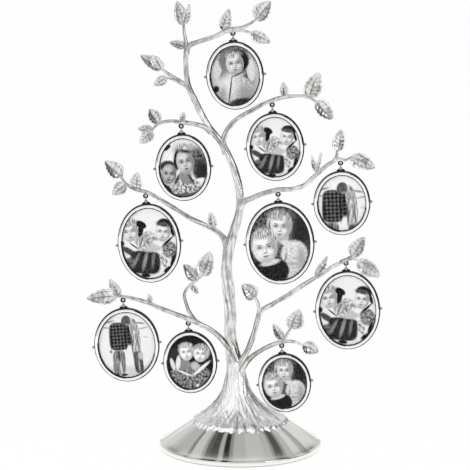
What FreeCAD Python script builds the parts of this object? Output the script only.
# Tree-shaped holder for ten hanging oval photo lockets.
#
# A spun dish carries a cast trunk whose roots spread over the dish. Six limbs, cast with their
# leaves, are brazed to the trunk. Under the limbs are ten small eyes. A wire link hangs in each
# eye and carries one oval locket: a frame, a clear lens, a picture card and a back plate.
#
# Frame: millimetres, +Z up, the front faces -Y, and the origin is the centre of the dish's foot.
import FreeCAD, Part
import math
import os

V = FreeCAD.Vector
UP = V(0, 0, 1)
FRONT = V(0, -1, 0)

# Dish: a spun cone with a beaded rim, a turned-in flange and a flat seat for the roots.
DISH_RADIUS = 65.4
DISH_RIM_HEIGHT = 4.8
DISH_SHEET = 1.4
RIM_CHAMFER = 0.8
FOOT_CHAMFER = 1.2
FOOT_CHAMFER_HEIGHT = 1.0
FOOT_LIP = 0.5
SEAT_RADIUS = 35.5
SEAT_HEIGHT = 23.3
FLANGE_WIDTH = 6.0
PAD_THICKNESS = 1.5
PAD_CLEARANCE = 0.3

# Screw that holds the trunk on the dish from below.
SCREW_RADIUS = 2.5
SCREW_HOLE_CLEARANCE = 0.3
SCREW_LENGTH = 16.0
SCREW_HEAD_RADIUS = 6.0
SCREW_HEAD_HEIGHT = 3.0
SCREW_HEAD_ROUND = 1.2
SCREW_SLOT_WIDTH = 1.2
SCREW_SLOT_DEPTH = 1.2
SCREW_OVERLAP = 0.5

# Root skirt: radius at each height above the seat, with ridges that fade up the trunk.
ROOT_RIDGES = 14
ROOT_HEM_RADIUS = 37.6
ROOT_HEM_DROP = 3.0
ROOT_SECTIONS = [
    # height above the seat, share of the hem radius, ridge depth
    (-ROOT_HEM_DROP, 1.06, 1.1),
    (0.2, 0.985, 1.5),
    (7.7, 0.70, 1.7),
    (16.7, 0.425, 1.2),
    (22.7, 0.305, 0.9),
    (30.7, 0.250, 0.7),
    (41.2, 0.205, 0.5),
]
ROOT_DRIFT = -3.4

# Stem: centreline (x, y, z) and radius.
STEM = [
    (-3.5, 0, 45.5, 8.6), (-3.6, 0, 64.5, 7.4), (-6.5, 1, 80, 6.3), (-8, 1, 92.5, 5.3),
    (-8, 1, 113, 5.2), (-9.5, 1, 129.5, 5.2), (-11, 0, 146, 4.8), (-9.5, -1, 161.5, 4.6),
    (-5, -2, 178, 3.9), (-1.5, -3, 190, 3.5), (0, -3, 203, 3.4), (-2, -2, 217.5, 3.2),
    (-7.5, 0, 234, 3.0), (-15, 1, 248.5, 2.9), (-26, 1, 262.5, 2.8), (-35, 1, 280, 2.7),
    (-41.5, 1, 295.5, 2.5), (-43, 0, 313, 2.2), (-42, 0, 327, 2.0),
]

# Branches of the trunk casting above the last fork.
TOP_BRANCHES = [
    [(-42.5, 0, 320, 1.9), (-40, 0, 326, 2.0), (-31.5, -2, 329.5, 2.0), (-20, -4, 333.5, 1.9),
     (-9.5, -6, 338.5, 1.8), (1.5, -6, 340.5, 1.6), (8.5, -5, 344, 1.3), (14, -4, 348, 1.0)],
    [(-11, -6, 338, 1.5), (-4, -6.5, 338.5, 1.4), (3, -7, 337.8, 1.2), (10, -7, 336, 0.9)],
    [(-42.6, 0, 318, 1.9), (-43, 0.5, 328, 1.6), (-44.5, 2, 338, 1.2), (-44.5, 2, 346, 0.9)],
    [(-36, 1, 283, 2.0), (-42, 1.5, 293, 2.0), (-49, 3.5, 298, 1.8), (-56, 6, 302, 1.5),
     (-63.5, 7, 307, 1.1)],
    [(-44, 2, 294.5, 1.5), (-51.5, 3, 298, 1.2), (-60, 3, 300.5, 0.9)],
]

# Limbs brazed to the trunk: each casting is one or more branches.
LIMBS = {
    "limb_left_upper": [
        [(-23, 1, 257, 2.2), (-28, -0.5, 261, 2.1), (-34, -3, 263.5, 1.9), (-42, -5, 265, 1.8),
         (-51.5, -7, 266.5, 1.7), (-61, -7, 266, 1.4), (-66.5, -6, 263, 1.2),
         (-71, -6, 258, 0.9)],
    ],
    "limb_left_middle": [
        [(-9.8, -1, 163, 3.0), (-13, 0.5, 171, 2.6), (-19, 2, 177, 2.3), (-28, 4, 181.5, 2.1),
         (-40, 6, 187, 2.0), (-53, 7, 195, 1.9), (-64.5, 8, 202, 1.8), (-74.5, 8, 207.5, 1.7),
         (-84, 8, 210, 1.5), (-91.5, 8, 214.5, 1.2), (-96.5, 8, 222, 0.9)],
    ],
    "limb_left_lower": [
        [(-4.5, 0, 60, 3.6), (-7, -1, 74, 3.2), (-11.5, -3, 85, 2.7), (-18.5, -6, 94, 2.4),
         (-27.5, -9, 101, 2.2), (-38.5, -10, 106.5, 2.1), (-51.5, -9, 111.5, 2.0),
         (-63.5, -8, 116, 1.9), (-76, -7, 121, 1.8), (-89, -6, 124.5, 1.6),
         (-100, -6, 126, 1.1)],
        [(-30, -10, 102, 1.8), (-36, -8, 106, 1.8), (-40.5, -6, 112, 1.7), (-43.5, -3, 119, 1.5),
         (-44.8, 0, 126, 1.4), (-41, 2, 132.5, 1.3), (-35, 3, 136.5, 1.1),
         (-29.5, 3, 141.5, 0.8)],
    ],
    "limb_right_upper": [
        [(-11, 0.5, 239, 2.3), (-13.5, 1.5, 247, 2.5), (-12.5, 2, 254, 2.3), (-8.5, 3, 261, 2.2),
         (-2.5, 5, 267, 2.1), (8, 7, 273, 2.0), (19, 8, 279, 1.9), (31.5, 8, 283.5, 1.8),
         (43.5, 8, 285, 1.6), (53, 8, 284.5, 1.4), (62, 8, 279.5, 0.9)],
    ],
    "limb_right_middle": [
        [(-0.5, -3, 196, 2.6), (3, -4.5, 202, 2.4), (9, -6.5, 205, 2.2), (18, -8, 209, 2.1),
         (30, -8, 212, 2.1), (41, -6, 212.3, 2.0), (51, -3, 215, 1.9), (59, 0, 221.5, 1.9),
         (68.5, 3, 229.5, 1.8), (76, 4, 235, 1.6), (77.5, 4, 243, 1.1)],
        [(74, 4, 234.5, 1.4), (79, 4, 234.8, 1.4), (84, 4, 234.2, 1.2), (90, 5, 237, 0.9)],
    ],
    "limb_right_lower": [
        [(-3, -1, 60, 3.2), (0, -3.5, 70, 3.0), (5.5, -5, 80, 2.5), (10.5, -3, 92.5, 2.3),
         (13.5, 0, 103, 2.2), (17, 2, 112, 2.2), (26, 4, 117, 2.1), (38.5, 6, 124, 2.0),
         (50.5, 7, 132, 2.0), (62, 7, 139, 1.9), (73, 6, 146.5, 1.8), (84, 6, 152.5, 1.5),
         (91, 6, 157, 1.0)],
        [(14, 0, 104, 1.9), (15, 0.5, 111, 1.8), (14.3, 0, 118, 1.4), (11.5, -1, 124.5, 0.9)],
        [(80, 6, 151, 1.3), (86, 6.5, 153.3, 1.3), (91.5, 7, 153.5, 1.1), (96.5, 7, 151.5, 0.8)],
        [(-1, -3, 60, 3.0), (3, -5, 68.5, 2.7), (9, -7, 76, 2.3), (17.5, -9, 82.3, 2.0),
         (26.5, -10, 87, 1.8), (34.5, -10, 89.3, 1.6), (43, -9, 89, 1.3), (51, -8, 85.5, 0.8)],
        [(31, -10, 88, 1.3), (35, -10, 91, 1.3), (38, -9.5, 96, 1.1), (41, -9, 101, 0.8)],
    ],
}

# Leaves: stalk end, tip, blade width, and how far the blade turns from facing front, in degrees.
LEAF_THICKNESS = 1.0
LEAF_FOLD = 18.0
LEAF_BELLY = 0.45
STALK_RADIUS = 0.75
STALK_LENGTH = 3.0
LEAVES = {
    "trunk": [
        ((-44.5, 2, 342.5), (-40.5, 0, 358.5), 7.0, 35), ((-45, 3, 342), (-50, 5, 360.5), 9.5, -20),
        ((-14, -4.5, 338), (-9, -4, 355), 9.5, 25), ((12.5, -4, 346.5), (23.5, -6, 361), 12.5, -15),
        ((8.5, -7, 336.5), (23.5, -9, 329), 9.5, 15), ((-43, 1, 325), (-56, 3, 328), 6.5, 10),
        ((-62, 7, 306), (-70, 4, 318), 9.5, -25), ((-62.5, 7, 306), (-79, 9, 317.5), 9.5, 25),
        ((-58.5, 3, 300.5), (-68.5, 1, 294), 7.0, 0),
    ],
    "limb_left_upper": [
        ((-65, -6, 264.5), (-72, -4, 276), 9.5, 20), ((-70, -6, 259), (-79.5, -8, 249), 9.5, -15),
        ((-69.5, -6, 260), (-81, -5, 260.5), 6.5, 30), ((-46, -6, 266), (-45, -6, 274), 4.0, 0),
    ],
    "limb_left_middle": [
        ((-95.5, 8, 220.5), (-108, 6, 233), 11.5, 15), ((-95, 8, 219), (-94, 6, 229), 4.5, -50),
        ((-91.5, 8, 214.5), (-102.5, 10, 205.5), 9.5, 10),
        ((-83.5, 8, 209.5), (-82, 6, 224), 10.0, -20), ((-22, 3, 179), (-24, 2, 192.5), 7.0, 20),
    ],
    "limb_left_lower": [
        ((-99, -6, 126), (-123, -8, 124), 11.0, 12), ((-97, -6, 125.5), (-104.5, -4, 139), 8.5, -15),
        ((-72, -7.5, 119.5), (-73, -7, 127.5), 4.0, 0), ((-30.5, 3, 140.5), (-24, 1, 160.5), 12.5, -15),
        ((-34.5, 3, 136.5), (-45.5, 5, 149.5), 10.0, 20), ((-39.5, 2.5, 133.5), (-34, 4.5, 125.5), 4.5, 0),
    ],
    "limb_right_upper": [
        ((54.5, 8, 284), (62.5, 6, 304), 13.5, 15), ((60.5, 8, 280.5), (74, 10, 266), 11.5, -15),
        ((35.5, 8, 284), (34, 8, 296), 6.0, 10),
    ],
    "limb_right_middle": [
        ((77.5, 4, 241.5), (80.5, 2, 259), 9.0, -20), ((88.5, 5, 236.5), (107.5, 3, 228), 12.0, 15),
        ((61, 1, 223), (57, 3, 238), 4.5, 40), ((61, 1, 223), (64.5, -1, 241.5), 4.5, -40),
    ],
    "limb_right_lower": [
        ((90, 6, 156), (99.5, 4, 172), 11.0, -15), ((95, 7, 152.5), (112.5, 5, 139), 12.5, 15),
        ((61, 7, 138.5), (70, 6, 156), 7.0, -40), ((12.5, -1, 123), (1.5, 1, 134), 11.5, 10),
        ((40.5, -9, 100), (47, -11, 116), 13.5, 15), ((34.5, -10, 90), (26.5, -8, 103.5), 7.5, 30),
        ((50, -8, 86), (63, -6, 80), 10.0, -10),
    ],
}

# Eyes under the limbs, wire links and the lug on each locket.
EYE_WIRE = 0.65
EYE_RADIUS = 1.55
EYE_SINK = 0.8
LINK_WIRE = 0.5
LINK_BEND = 1.5
LINK_LENGTH = 2.1
LUG_WIDTH = 6.4
LUG_SHOULDER = 0.5
LUG_ROOT = 1.2
LUG_TOP_WIDTH = 2.6
LUG_THICKNESS = 1.2
LUG_HOLE_CLEARANCE = 0.35
LUG_HOLE_RISE = 1.15
LUG_WEB = 0.5

# Locket sections, across the oval (ring widths) and front to back (depths).
FRAME_DEPTH = 4.6
BAND_WIDTH = 3.9
BEVEL = 1.1
BEVEL_INSET = 1.0
LIP_WIDTH = 1.5
LIP_DEPTH = 1.2
LENS_THICKNESS = 0.9
CARD_THICKNESS = 0.5
PLATE_THICKNESS = 1.2
SEAT_CLEARANCE = 0.15
NUB_RADIUS = 1.1
NUB_END_RADIUS = 0.825
NUB_REACH = 1.8
NUB_ROOT = 1.0

# Lockets: carrying casting, which of its branches, x of the eye, width, height, and lean from
# plumb in degrees.
LOCKETS = {
    "locket_1": ("trunk", 0, -5.9, 45.5, 54.0, 3.1),
    "locket_2": ("limb_right_upper", 0, 25.4, 46.5, 55.0, 4.5),
    "locket_3": ("limb_left_upper", 0, -46.8, 44.5, 53.5, 3.0),
    "locket_4": ("limb_right_middle", 1, 80.0, 45.5, 52.0, 2.5),
    "locket_5": ("limb_left_middle", 0, -75.8, 51.0, 64.5, 4.4),
    "locket_6": ("limb_right_middle", 0, 30.0, 55.0, 66.5, 2.6),
    "locket_7": ("limb_right_lower", 2, 85.1, 52.5, 64.5, 2.7),
    "locket_8": ("limb_left_lower", 0, -93.9, 52.5, 60.5, 4.6),
    "locket_9": ("limb_left_lower", 0, -41.6, 43.5, 51.0, 2.9),
    "locket_10": ("limb_right_lower", 3, 33.3, 42.5, 48.5, 5.0),
}


def section_frame(tangent):
    """Two unit vectors across a branch, the first one as near to +Y as can be."""
    across = V(0, 1, 0) - tangent * tangent.y
    across.normalize()
    return across, tangent.cross(across)


def centreline(points):
    curve = Part.BSplineCurve()
    curve.interpolate([V(x, y, z) for x, y, z, _ in points])
    return curve


def tangent_at(curve, point):
    tangent = curve.tangent(curve.parameter(point))[0]
    tangent.normalize()
    return tangent


def branch(points):
    """A tapering round branch through the points, square to its own centreline."""
    curve = centreline(points)
    sections = []
    for x, y, z, radius in points:
        place = V(x, y, z)
        tangent = tangent_at(curve, place)
        across, side = section_frame(tangent)
        ring = Part.makeCircle(radius)
        turn = FreeCAD.Rotation(across, side, tangent, "ZXY")
        ring.Placement = FreeCAD.Placement(place, turn)
        sections.append(Part.Wire(ring))
    return Part.makeLoft(sections, True, False)


def root_section(height, share, depth):
    """A closed ridged ring of the root skirt."""
    rise = height / ROOT_SECTIONS[-1][0]
    centre_x = ROOT_DRIFT * max(rise, 0.0)
    steps = 2 * ROOT_RIDGES
    points = []
    for step in range(steps):
        turn = math.tau * step / steps
        radius = ROOT_HEM_RADIUS * share + (depth if step % 2 else -depth) / 2
        points.append(V(centre_x + radius * math.cos(turn), radius * math.sin(turn),
                        SEAT_HEIGHT + height))
    ring = Part.BSplineCurve()
    ring.interpolate(points, PeriodicFlag=True)
    return Part.Wire(ring.toShape())


def leaf(root, tip, width, turn):
    """A blade folded along its midrib, on a tapering stalk."""
    root = V(*root)
    tip = V(*tip)
    along = tip - root
    length = along.Length
    along.normalize()
    facing = FRONT - along * FRONT.dot(along)
    facing.normalize()
    facing = FreeCAD.Rotation(along, turn).multVec(facing)
    side = along.cross(facing)
    thick = facing * LEAF_THICKNESS
    start = root - thick * 0.5
    end = tip - thick * 0.5
    halves = []
    for hand in (1, -1):
        out = side * (hand * math.cos(math.radians(LEAF_FOLD)))
        out = out + facing * math.sin(math.radians(LEAF_FOLD))
        belly = start + along * (length * LEAF_BELLY) + out * (width / 2)
        edge = Part.Arc(start, belly, end).toShape()
        midrib = Part.LineSegment(end, start).toShape()
        halves.append(Part.Face(Part.Wire([edge, midrib])).extrude(thick))
    back = root - along * STALK_LENGTH
    stalk = Part.makeCone(STALK_RADIUS, STALK_RADIUS / 2, STALK_LENGTH + length / 2, back, along)
    return halves[0].fuse(halves[1]).fuse(stalk)


def branch_point(points, x):
    """The place on a branch's centreline at x, and the radius there."""
    for first, second in zip(points, points[1:]):
        low, high = sorted((first[0], second[0]))
        if low <= x <= high:
            share = (x - first[0]) / (second[0] - first[0])
            values = [a + (b - a) * share for a, b in zip(first, second)]
            return V(x, values[1], values[2]), values[3]
    raise ValueError("no branch passes x = %g" % x)


def eye_centre(name):
    """Centre of the eye that a locket hangs from."""
    carrier, number, x = LOCKETS[name][:3]
    branches = TOP_BRANCHES if carrier == "trunk" else LIMBS[carrier]
    place, radius = branch_point(branches[number], x)
    return place - UP * (radius + EYE_RADIUS + EYE_WIRE - EYE_SINK)


def pivot(name):
    """The point that a locket swings about: the middle of the eye's lower wire."""
    return eye_centre(name) - UP * EYE_RADIUS


def eyes(carrier):
    return [Part.makeTorus(EYE_RADIUS, EYE_WIRE, eye_centre(name), V(0, 1, 0))
            for name, spec in LOCKETS.items() if spec[0] == carrier]


def casting(name, branches):
    """Branches, leaves and eyes as one casting."""
    pieces = [branch(points) for points in branches]
    pieces += [leaf(*values) for values in LEAVES[name]]
    pieces += eyes(name)
    return pieces


def one_solid(shape):
    """The largest solid of a cut or fused shape."""
    return max(shape.Solids, key=lambda solid: solid.Volume)


def dish_profile():
    """Outer line of the dish from its foot to the middle of the seat."""
    slope_top = V(SEAT_RADIUS, 0, SEAT_HEIGHT)
    return [V(DISH_RADIUS - FOOT_CHAMFER, 0, 0), V(DISH_RADIUS, 0, FOOT_CHAMFER_HEIGHT),
            V(DISH_RADIUS, 0, DISH_RIM_HEIGHT - RIM_CHAMFER),
            V(DISH_RADIUS - RIM_CHAMFER, 0, DISH_RIM_HEIGHT),
            slope_top, V(0, 0, SEAT_HEIGHT)]


def revolved(points):
    wire = Part.makePolygon(points + [points[0]])
    return Part.Face(wire).revolve(V(0, 0, 0), UP, 360)


def filled_dish():
    return revolved(dish_profile() + [V(0, 0, 0)])


def dish():
    wall = DISH_RADIUS - DISH_SHEET
    rise = (SEAT_HEIGHT - DISH_RIM_HEIGHT) / (DISH_RADIUS - SEAT_RADIUS)
    under = SEAT_HEIGHT - DISH_SHEET
    flange_top = PAD_THICKNESS + DISH_SHEET
    shoulder = under - (wall - SEAT_RADIUS) * rise
    hollow = [V(0, 0, under), V(SEAT_RADIUS, 0, under), V(wall, 0, shoulder),
              V(wall, 0, flange_top), V(wall - FLANGE_WIDTH, 0, flange_top),
              V(wall - FLANGE_WIDTH, 0, PAD_THICKNESS), V(wall - FOOT_LIP, 0, PAD_THICKNESS),
              V(wall - FOOT_LIP, 0, 0), V(0, 0, 0)]
    hole = Part.makeCylinder(SCREW_RADIUS + SCREW_HOLE_CLEARANCE, SEAT_HEIGHT + 1)
    return filled_dish().cut(revolved(hollow)).cut(hole)


def pad():
    radius = DISH_RADIUS - DISH_SHEET - FOOT_LIP - PAD_CLEARANCE
    return Part.makeCylinder(radius, PAD_THICKNESS)


def screw():
    under = SEAT_HEIGHT - DISH_SHEET
    head = Part.makeCylinder(SCREW_HEAD_RADIUS, SCREW_HEAD_HEIGHT, UP * (under - SCREW_HEAD_HEIGHT))
    bottom_edges = [edge for edge in head.Edges
                    if abs(edge.CenterOfMass.z - under + SCREW_HEAD_HEIGHT) < 0.01
                    and edge.Length > SCREW_HEAD_RADIUS]
    head = head.makeFillet(SCREW_HEAD_ROUND, bottom_edges)
    shank = Part.makeCylinder(SCREW_RADIUS, SCREW_LENGTH, UP * (under - SCREW_OVERLAP))
    slot = Part.makeBox(SCREW_HEAD_RADIUS * 2, SCREW_SLOT_WIDTH, SCREW_SLOT_DEPTH,
                        V(-SCREW_HEAD_RADIUS, -SCREW_SLOT_WIDTH / 2, under - SCREW_HEAD_HEIGHT))
    return head.fuse(shank).cut(slot)


def trunk():
    roots = Part.makeLoft([root_section(*values) for values in ROOT_SECTIONS], True, False)
    crown = casting("trunk", TOP_BRANCHES)
    body = roots.fuse(branch(STEM)).fuse(crown[0].multiFuse(crown[1:]))
    tap = Part.makeCylinder(SCREW_RADIUS, SCREW_LENGTH + 1, UP * (SEAT_HEIGHT - DISH_SHEET))
    return one_solid(body.cut(filled_dish()).cut(tap))


def limb(name, stem):
    pieces = casting(name, LIMBS[name])
    return one_solid(pieces[0].multiFuse(pieces[1:]).cut(stem))


def oval(width, height, depth):
    """A closed oval across the locket, depth behind its middle plane."""
    wide = max(width, height) / 2
    narrow = min(width, height) / 2
    ring = Part.Ellipse(V(0, 0, 0), wide, narrow).toShape()
    if height >= width:
        ring.rotate(V(0, 0, 0), UP, 90)
    ring.rotate(V(0, 0, 0), V(1, 0, 0), 90)
    ring.translate(V(0, depth, 0))
    return Part.Wire(ring)


def oval_plate(width, height, front, thickness):
    return Part.Face(oval(width, height, front)).extrude(V(0, thickness, 0))


def frame(width, height):
    """An oval frame: bevelled band, front lip, rebate behind it, side nubs and top lug."""
    half = FRAME_DEPTH / 2
    rounds = [(BEVEL_INSET, -half), (0, -half + BEVEL), (0, half - BEVEL), (BEVEL_INSET, half)]
    body = Part.makeLoft([oval(width - 2 * inset, height - 2 * inset, depth)
                          for inset, depth in rounds], True, True)
    window = [(BAND_WIDTH - BEVEL, -half - 0.01), (BAND_WIDTH, -half + LIP_DEPTH),
              (BAND_WIDTH, half)]
    body = body.cut(Part.makeLoft([oval(width - 2 * inset, height - 2 * inset, depth)
                                   for inset, depth in window], True, True))
    rebate = BAND_WIDTH - LIP_WIDTH
    body = body.cut(oval_plate(width - 2 * rebate, height - 2 * rebate, -half + LIP_DEPTH,
                               FRAME_DEPTH))
    for hand in (1, -1):
        nub = Part.makeCone(NUB_RADIUS, NUB_END_RADIUS, NUB_REACH + NUB_ROOT,
                            V(hand * (width / 2 - NUB_ROOT), 0, 0), V(hand, 0, 0))
        body = body.fuse(nub)
    return one_solid(body.fuse(lug(height)))


def lug(height):
    """The tab on top of a frame, with the hole for the link."""
    hole_radius = LINK_WIRE + LUG_HOLE_CLEARANCE
    hole_height = height / 2 + LUG_HOLE_RISE
    top = hole_height + LINK_BEND + LUG_WEB
    foot = height / 2 - LUG_ROOT
    shoulder = height / 2 + LUG_SHOULDER
    outline = [V(-LUG_WIDTH / 2, 0, foot), V(LUG_WIDTH / 2, 0, foot),
               V(LUG_WIDTH / 2, 0, shoulder), V(LUG_TOP_WIDTH / 2, 0, top),
               V(-LUG_TOP_WIDTH / 2, 0, top), V(-LUG_WIDTH / 2, 0, shoulder)]
    tab = Part.Face(Part.makePolygon(outline + [outline[0]])).extrude(V(0, LUG_THICKNESS, 0))
    tab.translate(V(0, -LUG_THICKNESS / 2, 0))
    hole = Part.makeCylinder(hole_radius, 2 * LUG_THICKNESS, V(0, -LUG_THICKNESS, hole_height),
                             V(0, 1, 0))
    return tab.cut(hole)


def link(height):
    """A closed wire link, in the plane across the eye and the lug."""
    low = height / 2 + LUG_HOLE_RISE + LINK_BEND
    high = low + LINK_LENGTH
    left = V(0, -LINK_BEND, low)
    right = V(0, LINK_BEND, low)
    bottom = V(0, 0, low - LINK_BEND)
    rise = V(0, 0, LINK_LENGTH)
    crown = V(0, 0, high + LINK_BEND)
    path = Part.Wire([Part.Arc(left, bottom, right).toShape(),
                      Part.LineSegment(right, right + rise).toShape(),
                      Part.Arc(right + rise, crown, left + rise).toShape(),
                      Part.LineSegment(left + rise, left).toShape()])
    ring = Part.Wire(Part.makeCircle(LINK_WIRE, left, UP))
    return path.makePipeShell([ring], True, False)


def locket(name):
    """The five pieces of one locket, hung in its eye."""
    width, height, lean = LOCKETS[name][3:]
    half = FRAME_DEPTH / 2
    rebate = BAND_WIDTH - LIP_WIDTH + SEAT_CLEARANCE
    wide = width - 2 * rebate
    tall = height - 2 * rebate
    lens_front = -half + LIP_DEPTH
    card_front = lens_front + LENS_THICKNESS
    plate_front = card_front + CARD_THICKNESS
    pieces = {
        "frame": frame(width, height),
        "lens": oval_plate(wide, tall, lens_front, LENS_THICKNESS),
        "card": oval_plate(wide, tall, card_front, CARD_THICKNESS),
        "back": oval_plate(wide, tall, plate_front, PLATE_THICKNESS),
        "link": link(height),
    }
    hang = height / 2 + LUG_HOLE_RISE + LINK_BEND + LINK_LENGTH
    place = pivot(name)
    for shape in pieces.values():
        shape.translate(place - UP * hang)
        shape.rotate(place, V(0, 1, 0), -lean)
    return pieces


def build():
    nodes = {"base_dish": dish(), "base_pad": pad(), "base_screw": screw()}
    stem = trunk()
    nodes["trunk"] = stem
    for name in LIMBS:
        nodes[name] = limb(name, stem)
    for name in LOCKETS:
        for piece, shape in locket(name).items():
            nodes[name + "_" + piece] = shape
    return nodes


os.makedirs("parts", exist_ok=True)
for node, shape in build().items():
    shape.exportStep("parts/%s.step" % node)
